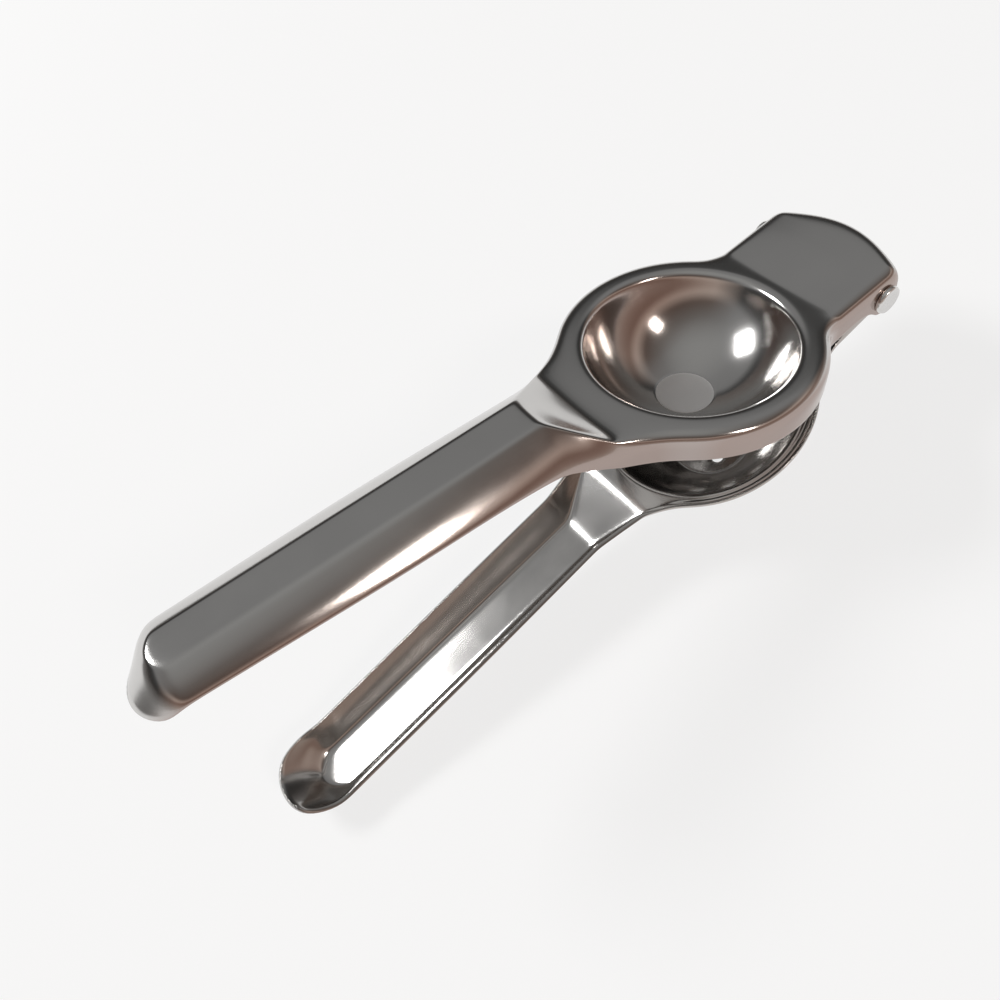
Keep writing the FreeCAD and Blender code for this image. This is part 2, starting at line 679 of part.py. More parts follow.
lower_bored = cut("lower_bored", lower_trimmed, cross_bore(
    "lower_bore", low_pin[0], low_pin[1], size("pin_radius") + size("pin_fit"), REACH))

# drain holes in the flat bottom of the bowl: one in the middle and a ring round it
drains = []
for number in range(int(size("drain_count")) + 1):
    hole = doc.addObject("Part::Cylinder", "drain_%d" % number)
    hole.setExpression("Radius", "Sizes.drain_radius")
    hole.Height = 4 * t
    turn = math.radians(360.0 / size("drain_count") * number)
    ring = size("drain_ring") if number else 0.0
    hole.Placement = Placement(
        Vector(ring * math.cos(turn), ring * math.sin(turn), -size("bowl_depth") - 2.5 * t), Rotation())
    drains.append(hole)
lower_lever = cut("lower_lever", lower_bored, fuse("drains", drains))

# Rivet: one shank with a head at each end, lying along Y in its own frame
rivet = doc.addObject("PartDesign::Body", "hinge_rivet")
profile = rivet.newObject("Sketcher::SketchObject", "rivet_profile")
base_plane = [f for f in rivet.Origin.OriginFeatures if f.Role == "XY_Plane"][0]
profile.AttachmentSupport = [(base_plane, "")]
profile.MapMode = "FlatFace"
rivet_route = [
    ("0", "0 - block_half - head_height"), ("head_radius", "0 - block_half - head_height"),
    ("head_radius", "0 - block_half"), ("pin_radius", "0 - block_half"),
    ("pin_radius", "block_half"), ("head_radius", "block_half"),
    ("head_radius", "block_half + head_height"), ("0", "block_half + head_height")]
places = [Vector(amount(x), amount(y), 0) for x, y in rivet_route]
for number in range(len(places)):
    profile.addGeometry(Part.LineSegment(places[number], places[(number + 1) % len(places)]), False)
for number in range(len(places)):
    profile.addConstraint(Sketcher.Constraint(
        "Coincident", number, 2, (number + 1) % len(places), 1))
    pin_point(profile, number, 1, *rivet_route[number])
turned = rivet.newObject("PartDesign::Revolution", "rivet_turned")
turned.Profile = profile
turned.ReferenceAxis = (profile, ["V_Axis"])
turned.Angle = 360
doc.recompute()
rims = []
for number, edge in enumerate(turned.Shape.Edges, start=1):
    outer = edge.Curve.TypeId == "Part::GeomCircle" and abs(edge.Curve.Radius - size("head_radius")) < 1e-6
    if outer and abs(edge.Curve.Center.y) > size("block_half") + 0.5 * size("head_height"):
        rims.append("Edge%d" % number)
softened = rivet.newObject("PartDesign::Chamfer", "rivet_heads")
softened.Base = (turned, rims)
softened.setExpression("Size", "Sizes.head_round")
rivet.Tip = softened
doc.recompute()

# Rest pose: the lower lever stands on the edge of its bowl's flat bottom and on the handle's end
outer_ball = size("bowl_sphere") + t
bowl_foot = Vector(-math.sqrt(outer_ball ** 2 - (size("bowl_depth") + t + size("bowl_lift")) ** 2), 0,
                   -size("bowl_depth") - t)
slope_x = (size("low_grip_depth") - size("low_tail_depth")) / (size("low_tail_x") - size("low_grip_x"))
tail_x = -size("low_nose_floor_x") - 0.5 * t
tail_foot = Vector(tail_x, 0, -size("low_tail_depth") - t + slope_x * (-size("low_tail_x") - tail_x))
lean_angle = -math.degrees(math.atan2(tail_foot.z - bowl_foot.z, bowl_foot.x - tail_foot.x))
stand = Placement(Vector(0, 0, 0), Rotation(Vector(0, 1, 0), lean_angle))
lift = -stand.multVec(bowl_foot).z
stand = Placement(Vector(0, 0, lift), Rotation(Vector(0, 1, 0), lean_angle))
swing = Placement(Vector(low_pin[0], 0, low_pin[1]), Rotation(Vector(0, 1, 0), size("rest_opening")))
back = Placement(Vector(-pin[0], 0, -pin[1]), Rotation())
lower_lever.Placement = stand
upper_lever.Placement = stand.multiply(swing).multiply(back)
rivet.Placement = stand.multiply(swing)
doc.recompute()

nodes = [upper_lever, lower_lever, rivet]
whole = FreeCAD.BoundBox()
for node in nodes:
    whole.add(node.Shape.BoundBox)
centring = Placement(Vector(-whole.Center.x, 0, 0), Rotation())
for node in nodes:
    node.Placement = centring.multiply(node.Placement)
doc.recompute()

problems = []
for thing in doc.Objects:
    if "Invalid" in thing.State or "Error" in thing.State:
        problems.append(thing.Name)
for node in nodes:
    if node.Shape.isNull() or not node.Shape.isValid() or len(node.Shape.Solids) != 1:
        problems.append(node.Name)
if problems:
    raise RuntimeError("not built: " + ", ".join(problems))

os.makedirs("parts", exist_ok=True)
for node in nodes:
    node.Label = node.Name
    node.Shape.exportStep("parts/%s.step" % node.Label)
    box = node.Shape.BoundBox
    print(node.Label, "volume", round(node.Shape.Volume), "box",
          [round(v, 2) for v in (box.XMin, box.XMax, box.YMin, box.YMax, box.ZMin, box.ZMax)])
hinge = rivet.Placement.Base
print("hinge axis at", round(hinge.x, 3), round(hinge.z, 3), "lean", round(lean_angle, 3))
face_middle = lower_lever.Placement.multVec(Vector(0, 0, bowl_foot.z))
print("bowl's flat bottom at", [round(v, 3) for v in face_middle])
print("frame shift", round(centring.Base.x, 4), "lift", round(lift, 4))
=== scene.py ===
# %% [markdown]
# # A hinged lemon squeezer
# The object is two levers pressed from polished sheet steel, joined by one rivet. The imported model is
# loaded first and is the fixed frame for everything that follows. All places are in metres in the end,
# but the levers are drawn in millimetres in their own frames, as their drawing is.

# %% load the frame
import json
import math

import bmesh
import bpy
from mathutils import Matrix, Vector


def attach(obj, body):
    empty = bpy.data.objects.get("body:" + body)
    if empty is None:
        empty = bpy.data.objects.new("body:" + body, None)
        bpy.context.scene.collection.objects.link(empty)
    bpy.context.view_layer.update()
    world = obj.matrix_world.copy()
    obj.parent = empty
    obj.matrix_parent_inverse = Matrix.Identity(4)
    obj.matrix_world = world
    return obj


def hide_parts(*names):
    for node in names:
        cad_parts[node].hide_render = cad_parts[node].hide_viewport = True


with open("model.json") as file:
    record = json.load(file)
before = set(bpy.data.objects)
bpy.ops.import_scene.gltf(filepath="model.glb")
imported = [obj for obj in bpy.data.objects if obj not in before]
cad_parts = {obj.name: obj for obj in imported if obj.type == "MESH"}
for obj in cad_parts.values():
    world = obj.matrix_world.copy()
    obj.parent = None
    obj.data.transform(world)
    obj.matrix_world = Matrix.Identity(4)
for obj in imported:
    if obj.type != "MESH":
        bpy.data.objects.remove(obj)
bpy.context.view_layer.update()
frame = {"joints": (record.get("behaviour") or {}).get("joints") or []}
hinge = Vector(frame["joints"][0]["pos_m"])
print("hinge at", [round(v, 4) for v in hinge])

# %% [markdown]
# Each lever has its own drawing frame: its origin is the middle of its bowl on the plate's top face, X
# points to the hinge and Z is up. The lower lever leans back on its handle, and the upper one is opened
# about the rivet. Two matrices carry a drawing into the frame, so a piece is made flat and then placed.

# %% where the two drawings go
MM = 0.001
LEAN = math.radians(-7.234)
OPENING = math.radians(21.3)
PIN_X = 49.7
UPPER_PIN_Z = -3.35
LOWER_PIN_Z = 5.85
SHEET = 1.2


def drawing_to_frame(turn, pin_z):
    """Matrix from a lever's drawing, in millimetres, to the frame."""
    to_pin = Matrix.Translation((-PIN_X, 0, -pin_z))
    return Matrix.Translation(hinge) @ Matrix.Rotation(turn, 4, "Y") @ Matrix.Scale(MM, 4) @ to_pin


LOWER_PLACE = drawing_to_frame(LEAN, LOWER_PIN_Z)
UPPER_PLACE = drawing_to_frame(LEAN + OPENING, UPPER_PIN_Z)
print("upper bowl's middle at", [round(v, 4) for v in UPPER_PLACE @ Vector((0, 0, 0))])

# %% [markdown]
# The sheet is one skin that is pulled out like a real pressing. A half section of the cup is spun into
# the cup and its lip, and the rim of that disc is then pulled outwards, edge by edge: over the ring, down
# the neck, along the handle and over the hinge plate. Last, the whole border is pulled down as the wall.
# A subdivision surface rounds the cage and Solidify gives it the sheet's thickness.

# %% helpers that spin and pull
STEPS = 48
STEP_ANGLE = math.tau / STEPS
PAST_CUP = 20
ON_PLATE = Vector((0, 30, 0))


def spun(profile):
    """Half section of (radius, height) points turned about the bowl's axis."""
    bm = bmesh.new()
    verts = [bm.verts.new((radius, 0, height)) for radius, height in profile]
    edges = [bm.edges.new(pair) for pair in zip(verts, verts[1:])]
    bmesh.ops.spin(bm, geom=verts + edges, cent=(0, 0, 0), axis=(0, 0, 1),
                   angle=math.tau, steps=STEPS, use_merge=True)
    bmesh.ops.remove_doubles(bm, verts=bm.verts, dist=0.001)
    return bm


def border(bm):
    """Open edges of the skin that lie outside the cup."""
    return [e for e in bm.edges if e.is_boundary and min(v.co.xy.length for v in e.verts) > PAST_CUP]


def pull(bm, edges, target):
    """Extrude a run of edges and put each new corner where `target` says."""
    out = bmesh.ops.extrude_edge_only(bm, edges=edges)
    corners = [part for part in out["geom"] if isinstance(part, bmesh.types.BMVert)]
    fresh = set(corners)
    for corner in corners:
        corner.co = target(corner.co.copy())
    return [part for part in out["geom"]
            if isinstance(part, bmesh.types.BMEdge) and fresh.issuperset(part.verts)]


def between(table, x):
    """Value at x on straight runs between the (x, value) pairs of a table."""
    if x <= table[0][0]:
        return table[0][1]
    for (xa, va), (xb, vb) in zip(table, table[1:]):
        if x <= xb:
            return va + (vb - va) * (x - xa) / (xb - xa)
    return table[-1][1]


def face_outwards(bm):
    """Turn all faces so that the plate's look up, as the lever's outside does."""
    bmesh.ops.recalc_face_normals(bm, faces=bm.faces)
    plate = min(bm.faces, key=lambda face: (face.calc_center_median() - ON_PLATE).length)
    if plate.normal.z < 0:
        bmesh.ops.reverse_faces(bm, faces=bm.faces)


def spoke(co):
    """Number of the spoke that a corner of the disc lies on, from -23 to 24, counted from the hinge."""
    return round(math.atan2(co.y, co.x) / STEP_ANGLE)


def near_side(centre, radius, angle):
    """Distance from the bowl's axis to the near side of a circle in plan."""
    ray = Vector((math.cos(angle), math.sin(angle)))
    along = centre.dot(ray)
    return along - math.sqrt(max(radius ** 2 - centre.length_squared + along ** 2, 0.0))


print("helpers ready, one spoke every", round(math.degrees(STEP_ANGLE), 2), "degrees")

# %% [markdown]
# Both levers are pressed the same way, so one function pulls either. It takes the half section of the cup,
# the rows down the handle and over the hinge end, the plate's edge round the ring, and for every corner of
# the border the four places of the wall below or above it. The rows keep the same number of corners, so
# the cage is all quads and bends without pinches.

# %% the pressing
TOUCH = 0.01
SMOOTHING = 2
RIM_SOFTENING = 0.25
RIM_ANGLE = math.radians(55)


def pull_row(bm, run, old, new):
    """Pull one row of corners from its old places to the new ones."""
    def target(co):
        return new[min(range(len(old)), key=lambda i: (old[i] - co).length)]
    return pull(bm, run, target)


def in_row(edge, row):
    return all(min((v.co - place).length for place in row) < TOUCH for v in edge.verts)


def press(profile, plate_edge, neck_rows, hinge_rows, walls, open_end=False):
    """Skin of one lever; `walls` lists for each border corner its place and those down its wall."""
    bm = spun(profile)
    pull(bm, border(bm), plate_edge)
    for rows in (neck_rows, hinge_rows):
        run = [e for e in border(bm) if in_row(e, rows[0])]
        for old, new in zip(rows, rows[1:]):
            run = pull_row(bm, run, old, new)
    run = border(bm)
    if open_end:
        run = [e for e in run if not in_row(e, hinge_rows[-1])]
    for level in range(len(walls[0]) - 1):
        run = pull_row(bm, run, [wall[level] for wall in walls], [wall[level + 1] for wall in walls])
    face_outwards(bm)
    return bm


def crease_ring(bm, radius, sharp):
    """Crease the edges of one ring of the cup, so its flat bottom keeps a crisp edge."""
    layer = bm.edges.layers.float.new("crease_edge")
    for edge in bm.edges:
        if all(abs(v.co.xy.length - radius) < TOUCH for v in edge.verts):
            edge[layer] = sharp


def finish_sheet(bm, name, place, body, material):
    """Place the skin, smooth it and give it the sheet's thickness."""
    mesh = bpy.data.meshes.new(name)
    bm.transform(place)
    bm.to_mesh(mesh)
    bm.free()
    for face in mesh.polygons:
        face.use_smooth = True
    piece = bpy.data.objects.new(name, mesh)
    bpy.context.scene.collection.objects.link(piece)
    smooth = piece.modifiers.new("smooth", "SUBSURF")
    smooth.levels = smooth.render_levels = SMOOTHING
    sheet = piece.modifiers.new("sheet", "SOLIDIFY")
    sheet.thickness = SHEET * MM
    sheet.offset = -1
    rim = piece.modifiers.new("rim", "BEVEL")
    rim.width = RIM_SOFTENING * MM
    rim.segments = 2
    rim.limit_method = "ANGLE"
    rim.angle_limit = RIM_ANGLE
    mesh.materials.append(material)
    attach(piece, body)
    print(name, len(mesh.polygons), "faces in the cage")
    return piece


# %% [markdown]
# Polished stainless steel is a bare metal: its colour is its reflectance, so the base colour is a light
# grey and the dark bands are what it mirrors. What tells it from chrome plate is in the roughness: faint
# cloudy smears, drawn lines along the lever from the polishing wheel, and a slow ripple in the pressed
# surface that bends the reflections. All three come from noise on the object's own place.
#
# One thing here isn't a property of steel: faces that look towards -Y take a darker and warmer colour,
# a painted reflection of a brown room on the near side, where this scene has a white floor.

# %% polished steel
DRAWN_ALONG_X = (6.0, 60.0, 60.0)
# Normal's Y where the painted reflection on faces towards -Y starts and where it is full.
PAINTED_REFLECTION_FROM, PAINTED_REFLECTION_FULL = -0.45, -0.85


def polished_steel(name, base, dark, side, roughness, smear, ripple):
    """Bare metal with smears, polishing lines and a slow ripple; `side` is the colour of a painted reflection
    on the faces towards -Y.
    """
    material = bpy.data.materials.new(name)
    material.use_nodes = True
    nodes, links = material.node_tree.nodes, material.node_tree.links
    shader = nodes["Principled BSDF"]
    shader.inputs["Metallic"].default_value = 1.0
    where = nodes.new("ShaderNodeTexCoord")
    stretch = nodes.new("ShaderNodeMapping")
    stretch.inputs["Scale"].default_value = DRAWN_ALONG_X
    links.new(where.outputs["Object"], stretch.inputs["Vector"])

    lines = nodes.new("ShaderNodeTexNoise")
    lines.inputs["Scale"].default_value = 60
    lines.inputs["Detail"].default_value = 3
    links.new(stretch.outputs["Vector"], lines.inputs["Vector"])

    clouds = nodes.new("ShaderNodeTexNoise")
    clouds.inputs["Scale"].default_value = 45
    clouds.inputs["Detail"].default_value = 4
    links.new(where.outputs["Object"], clouds.inputs["Vector"])

    swell = nodes.new("ShaderNodeTexNoise")
    swell.inputs["Scale"].default_value = 28
    swell.inputs["Detail"].default_value = 1
    links.new(where.outputs["Object"], swell.inputs["Vector"])

    tone = nodes.new("ShaderNodeMix")
    tone.data_type = "RGBA"
    tone.inputs["A"].default_value = (*dark, 1)
    tone.inputs["B"].default_value = (*base, 1)
    links.new(clouds.outputs["Fac"], tone.inputs["Factor"])

    # Painted reflection: faces whose normal looks towards -Y blend to the darker, warmer `side` colour.
    facing = nodes.new("ShaderNodeSeparateXYZ")
    links.new(where.outputs["Normal"], facing.inputs["Vector"])
    near = nodes.new("ShaderNodeMapRange")
    near.inputs["From Min"].default_value = PAINTED_REFLECTION_FROM
    near.inputs["From Max"].default_value = PAINTED_REFLECTION_FULL
    links.new(facing.outputs["Y"], near.inputs["Value"])
    painted_reflection_mix = nodes.new("ShaderNodeMix")
    painted_reflection_mix.data_type = "RGBA"
    painted_reflection_mix.inputs["B"].default_value = (*side, 1)
    links.new(near.outputs["Result"], painted_reflection_mix.inputs["Factor"])
    links.new(tone.outputs["Result"], painted_reflection_mix.inputs["A"])
    links.new(painted_reflection_mix.outputs["Result"], shader.inputs["Base Color"])

    haze = nodes.new("ShaderNodeMapRange")
    haze.inputs["From Min"].default_value = 0.3
    haze.inputs["From Max"].default_value = 0.75
    haze.inputs["To Min"].default_value = roughness
    haze.inputs["To Max"].default_value = roughness + smear
    links.new(clouds.outputs["Fac"], haze.inputs["Value"])
    rough = nodes.new("ShaderNodeMath")
    rough.operation = "MULTIPLY_ADD"
    rough.inputs[1].default_value = 0.03
    links.new(lines.outputs["Fac"], rough.inputs[0])
    links.new(haze.outputs["Result"], rough.inputs[2])
    links.new(rough.outputs["Value"], shader.inputs["Roughness"])

    ripple_bump = nodes.new("ShaderNodeBump")
    ripple_bump.inputs["Strength"].default_value = ripple
    ripple_bump.inputs["Distance"].default_value = 0.0004
    links.new(swell.outputs["Fac"], ripple_bump.inputs["Height"])
    line_bump = nodes.new("ShaderNodeBump")
    line_bump.inputs["Strength"].default_value = 0.05
    line_bump.inputs["Distance"].default_value = 0.00005
    links.new(lines.outputs["Fac"], line_bump.inputs["Height"])
    links.new(ripple_bump.outputs["Normal"], line_bump.inputs["Normal"])
    links.new(line_bump.outputs["Normal"], shader.inputs["Normal"])
    print("material", name, "roughness from", roughness)
    return material


# Each steel's `side` colour is its painted reflection of a brown room on the faces towards -Y.
upper_steel = polished_steel("upper_polished_steel", base=(0.62, 0.61, 0.595), dark=(0.54, 0.53, 0.52),
                             side=(0.40, 0.325, 0.295), roughness=0.10, smear=0.06, ripple=0.5)
lower_steel = polished_steel("lower_polished_steel", base=(0.60, 0.585, 0.57), dark=(0.50, 0.49, 0.48),
                             side=(0.42, 0.38, 0.35), roughness=0.11, smear=0.07, ripple=0.5)
rivet_steel = polished_steel("rivet_satin_steel", base=(0.80, 0.79, 0.77), dark=(0.74, 0.73, 0.71),
                             side=(0.72, 0.71, 0.70), roughness=0.20, smear=0.10, ripple=0.3)
# The cup's flat bottom gets a lighter and rougher steel of its own.
pale_rough_steel = polished_steel("pale_cup_bottom", base=(0.80, 0.79, 0.78), dark=(0.70, 0.69, 0.68),
                            side=(0.75, 0.74, 0.73), roughness=0.48, smear=0.12, ripple=0.2)

# %% [markdown]
# The upper lever carries the cup that turns the half lemon inside out. Its section is a ball of 28 mm
# with a flat bottom, and a lip of 2.2 mm rolls it over into the plate.

# %% upper lever: cup, plate edge
def ball_points(radius, lift, first, last, count):
    """Points of a cup's section at even angles from straight down, in degrees."""
    points = []
    for step in range(count + 1):
        angle = math.radians(first + (last - first) * step / count)
        points.append((radius * math.sin(angle), lift - radius * math.cos(angle)))
    return points


def lip_points(centre, radius, first, last, count):
    """Points round a cup's lip, angles measured from the horizontal, in degrees."""
    points = []
    for step in range(1, count + 1):
        angle = math.radians(first + (last - first) * step / count)
        points.append((centre[0] + radius * math.cos(angle), centre[1] + radius * math.sin(angle)))
    return points


CUP_BALL = 28.17
CUP_LIFT = 7.78
CUP_DEPTH = 19.3
CUP_LIP = 2.2
cup_profile = [(0, -CUP_DEPTH), (4.5, -CUP_DEPTH)]
cup_profile += ball_points(CUP_BALL, CUP_LIFT, 16.0, 70.8, 8)
cup_profile += lip_points((28.68, -CUP_LIP), CUP_LIP, 160.8, 90, 3)
cup_profile += [(30.0, 0)]
cup_bottom = cup_profile[2][0]


def ring_outline(ring, junction, side_half, web_centre, web, inset):
    """Function from an angle to the plan distance of the ring's outline, `inset` inside it."""
    foot = Vector((math.sqrt((ring + junction) ** 2 - (side_half + junction) ** 2), side_half + junction))
    first = math.atan2(foot.y, foot.x)
    last = math.atan2(web_centre.y, web_centre.x)

    def distance(angle):
        angle = abs(angle)
        if angle < first:
            return near_side(foot, junction + inset, angle)
        if angle > last:
            return near_side(web_centre, web + inset, angle)
        return ring - inset
    return distance


def polar(distance, angle, height):
    return Vector((distance * math.cos(angle), distance * math.sin(angle), height))


UPPER_RING = 34.4
UPPER_JUNCTION = 6.0
BLOCK_HALF = 20.4
UPPER_ROUND = 2.6
UPPER_WEB = Vector((-47.3, 49.14))
UPPER_WEB_RADIUS = 33.8
upper_plan = (UPPER_RING, UPPER_JUNCTION, BLOCK_HALF, UPPER_WEB, UPPER_WEB_RADIUS)
upper_edge = ring_outline(*upper_plan, UPPER_ROUND)
upper_rim = ring_outline(*upper_plan, 0.0)
NECK_PLACES = [-1, -2 / 3, -1 / 3, 0, 1 / 3, 2 / 3, 1]
HINGE_PLACES = [-1, -0.9, -0.55, -0.25, 0, 0.25, 0.55, 0.9, 1]
RING_SPOKES = range(5, 21)
print("cup section has", len(cup_profile), "points, flat bottom", round(cup_bottom, 2), "mm in radius")

# %% upper lever: rows down the handle and over the hinge plate
RIDGE_HALF = [(-142, 4.7), (-50.55, 4.97), (-36.84, 15.6)]
RIDGE_Z = [(-142, 3.7), (-50.55, 7.66), (-36.84, 0.0)]
RAMP = (-50.55, -36.84)
RAMP_VALLEY = 1.1


def upper_neck_row(x):
    """Corners across the neck or handle at one station; the ramp is a shallow valley."""
    half, height = between(RIDGE_HALF, x), between(RIDGE_Z, x)
    along = (x - RAMP[0]) / (RAMP[1] - RAMP[0])
    valley = RAMP_VALLEY * math.sin(math.pi * along) if 0 < along < 1 else 0.0
    return [Vector((x, half * place, height - valley * (1 - place * place))) for place in NECK_PLACES]


def upper_tip_row():
    """Last row of the handle's top, bowed towards the nose."""
    return [Vector((-144.3 + 2.3 * place * place, 4.7 * place, 3.7)) for place in NECK_PLACES]


upper_neck = [upper_neck_row(x) for x in
              (-36.84, -38.2, -43.5, -49.4, -50.9, -53.5, -70, -90, -115, -134, -140)]
upper_neck.append(upper_tip_row())
BLOCK_START = 31.6
BLOCK_TOP_HALF = 17.8
BLOCK_RISE = math.tan(math.radians(10.5))
BLOCK_CROWN = 0.9
CROWN_RUN = 12.0
BOW_MIDDLE = 23.5
BOW_TOP = 33.4
BOW = 36.0


def on_bow(radius, y):
    """Where the hinge block's bowed end stands at a distance y from the middle."""
    return BOW_MIDDLE + math.sqrt(radius ** 2 - y * y)


def upper_hinge_row(x):
    """Corners across the hinge block's top; x is None on its bowed end."""
    row = []
    for place in HINGE_PLACES:
        y = BLOCK_TOP_HALF * place
        at = x
        if x is None:
            at = on_bow(BOW_TOP, y) + (0.4 if abs(place) == 1 else 0.0)
        grow = min(max((at - BLOCK_START) / CROWN_RUN, 0.0), 1.0)
        crown = BLOCK_CROWN * grow * (1 - place * place)
        row.append(Vector((at, y, (at - BLOCK_START) * BLOCK_RISE + crown)))
    return row


upper_hinge = [upper_hinge_row(x) for x in (BLOCK_START, 32.8, 37.0, 41.5, 45.2, 47.4, 49.7, 51.3)]
upper_hinge.append(upper_hinge_row(None))
print("rows:", len(upper_neck), "to the nose,", len(upper_hinge), "to the hinge end")

# %% upper lever: the wall under every border corner
BEND_HALF = [(-142, 11.7), (-90, 13.6), (-50.55, 13.2), (-36.84, 17.0)]
BEND_Z = [(-142, -0.8), (-90, -0.12), (-50.55, 0.4), (-36.84, -4.2)]
RIM_HALF = [(-142, 11.7), (-90, 13.7), (-56, 13.6), (-48, 14.6), (-36.84, 17.1)]
RIM_Z = [(-142, -1.3), (-57, -0.3), (-48, -2.4), (-36.84, -7.4)]


SKIRT_DEPTH = 8.0


def slope_wall(ridge, bend, rim, bulge):
    """Wall that leaves a ridge, rounds over and ends at a rim."""
    out = Vector((0, math.copysign(bulge, ridge.y) if abs(ridge.y) > 0.1 else 0, bulge))
    return [ridge, ridge.lerp(bend, 0.14) + out * 0.3, ridge.lerp(bend, 0.58) + out, bend, rim]


upper_walls = []
for side in (-1, 1):
    last = 0 if side < 0 else -1
    for row in upper_neck[:-1]:
        ridge = row[last]
        x = ridge.x
        bend = Vector((x, side * between(BEND_HALF, x), between(BEND_Z, x)))
        rim = Vector((x, side * between(RIM_HALF, x), between(RIM_Z, x)))
        upper_walls.append(slope_wall(ridge, bend, rim, 0.4 if x < -45 else 0.1))
    for number in RING_SPOKES:
        angle = side * number * STEP_ANGLE
        edge = polar(upper_edge(angle), angle, 0)
        rim = polar(upper_rim(angle), angle, 0)
        shoulder = edge.lerp(rim, 0.72) + Vector((0, 0, -0.3 * UPPER_ROUND))
        upper_walls.append([edge, shoulder, rim + Vector((0, 0, -UPPER_ROUND)),
                            rim + Vector((0, 0, -5.3)), rim + Vector((0, 0, -SKIRT_DEPTH))])
HINGE_FOOT = [(BLOCK_START, -7.8), (37.0, -6.2), (41.5, -5.2), (45.2, -5.9), (47.4, -7.9), (49.7, -8.3),
              (51.3, -7.6)]
for side in (-1, 1):
    last = 0 if side < 0 else -1
    for row in upper_hinge[:-1]:
        top = row[last]
        lean = 0.9 if top.x > 51 else 0.2
        foot = Vector((top.x + lean, side * BLOCK_HALF, between(HINGE_FOOT, top.x)))
        shoulder = Vector((top.x, side * (BLOCK_TOP_HALF + 0.72 * UPPER_ROUND), top.z - 0.3 * UPPER_ROUND))
        low = Vector((top.x + 0.3 * lean, side * BLOCK_HALF, top.z - UPPER_ROUND))
        upper_walls.append([top, shoulder, low, low.lerp(foot, 0.5), foot])
for place, top in zip(HINGE_PLACES, upper_hinge[-1]):
    side = math.copysign(1, place)
    if abs(place) == 1:
        wall = [(53.4, side * 19.1, top.z - 0.8), (53.9, side * 19.9, top.z - UPPER_ROUND),
                (54.3, side * 20.25, -0.6), (54.6, side * 20.35, -4.2)]
    elif abs(place) == 0.9:
        wall = [(54.6, side * 17.6, top.z - 0.7), (55.0, side * 18.6, top.z - UPPER_ROUND),
                (54.9, side * 19.1, 1.5), (54.8, side * 19.3, 0.9)]
    else:
        y = top.y * 1.03
        outer = on_bow(BOW, y)
        wall = [(top.x + 0.72 * (outer - top.x), y, top.z - 0.7), (outer, y, top.z - UPPER_ROUND),
                (outer, y, 1.3), (outer, y, 0.6)]
    upper_walls.append([top] + [Vector(corner) for corner in wall])
NOSE_BEND = {0: (-148.3, 0.0), 1: (-147.6, 4.5), 2: (-145.9, 8.5), 3: (-143.0, 11.5)}
NOSE_LIP = {0: (-153.0, 0.0, -6.0), 1: (-151.6, 5.3, -6.0), 2: (-147.8, 9.4, -5.7), 3: (-143.4, 11.6, -1.6)}
for place, ridge in zip(NECK_PLACES, upper_neck[-1]):
    number = round(abs(place) * 3)
    side = math.copysign(1, place)
    bend = Vector((NOSE_BEND[number][0], side * NOSE_BEND[number][1], -0.8))
    lip = Vector((NOSE_LIP[number][0], side * NOSE_LIP[number][1], NOSE_LIP[number][2]))
    upper_walls.append(slope_wall(ridge, bend, lip, 0.3))
print("border corners on the upper lever:", len(upper_walls))

# %% upper lever: press it
def neck_corner(row, number):
    """Corner of the neck's first row that a spoke runs into; spoke 24 is the middle of the handle."""
    return row[3 + (24 - number)] if number > 0 else row[3 - (24 + number)]


def plate_edge_for(edge_distance, neck_row, hinge_row):
    """Where a corner of the cup's disc goes when it is pulled out to the edge of the plate."""
    def target(co):
        number = spoke(co)
        if abs(number) <= 4:
            return hinge_row[number + 4]
        if abs(number) >= 21:
            return neck_corner(neck_row, number)
        angle = number * STEP_ANGLE
        return polar(edge_distance(angle), angle, 0)
    return target


upper_plate_edge = plate_edge_for(upper_edge, upper_neck[0], upper_hinge[0])
upper_skin = press(cup_profile, upper_plate_edge, upper_neck, upper_hinge, upper_walls)
crease_ring(upper_skin, cup_bottom, 1.0)
# Faces inside the cup's flat bottom take the second material, the lighter and rougher steel.
for face in upper_skin.faces:
    if face.calc_center_median().xy.length < cup_bottom:
        face.material_index = 1
upper_piece = finish_sheet(upper_skin, "upper_lever_pressing", UPPER_PLACE, "upper", upper_steel)
upper_piece.data.materials.append(pale_rough_steel)
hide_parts("upper_lever")

# %% [markdown]
# The lower lever is the same idea turned over: its walls go up. The bowl takes the half lemon, a low rim
# stands round the plate, the handle is an open trough with a nose like a spoon, and two ears rise inside
# the upper lever's flanges. Its plate is open at the hinge end, so that row gets no wall. The bowl's flat
# bottom is drilled: a filled disc with a hole in the middle and six round it.

# %% lower lever: bowl and rows
BOWL_BALL = 27.6
BOWL_LIFT = 2.5
BOWL_DEPTH = 22.6
BOWL_LIP = 1.6
bowl_profile = ball_points(BOWL_BALL, BOWL_LIFT, 24.58, 81.9, 8)
bowl_profile += lip_points((28.91, -BOWL_LIP), BOWL_LIP, 171.9, 90, 3)
bowl_profile += [(29.5, 0)]
bowl_bottom = bowl_profile[0][0]
LOWER_RING = 31.2
LOWER_JUNCTION = 8.2
EAR_HALF = 17.0
LOWER_WEB_RADIUS = 25.2
LOWER_NECK_CORNER = Vector((-33.35, 13.28))


def web_middle(ring, web, corner):
    """Middle of the plan arc that leaves the neck's corner and meets the ring as a tangent."""
    reach = ring + web
    far = corner.length
    along = (reach ** 2 - web ** 2 + far ** 2) / (2 * far)
    off = math.sqrt(reach ** 2 - along ** 2)
    out = corner / far
    return out * along + Vector((out.y, -out.x)) * off


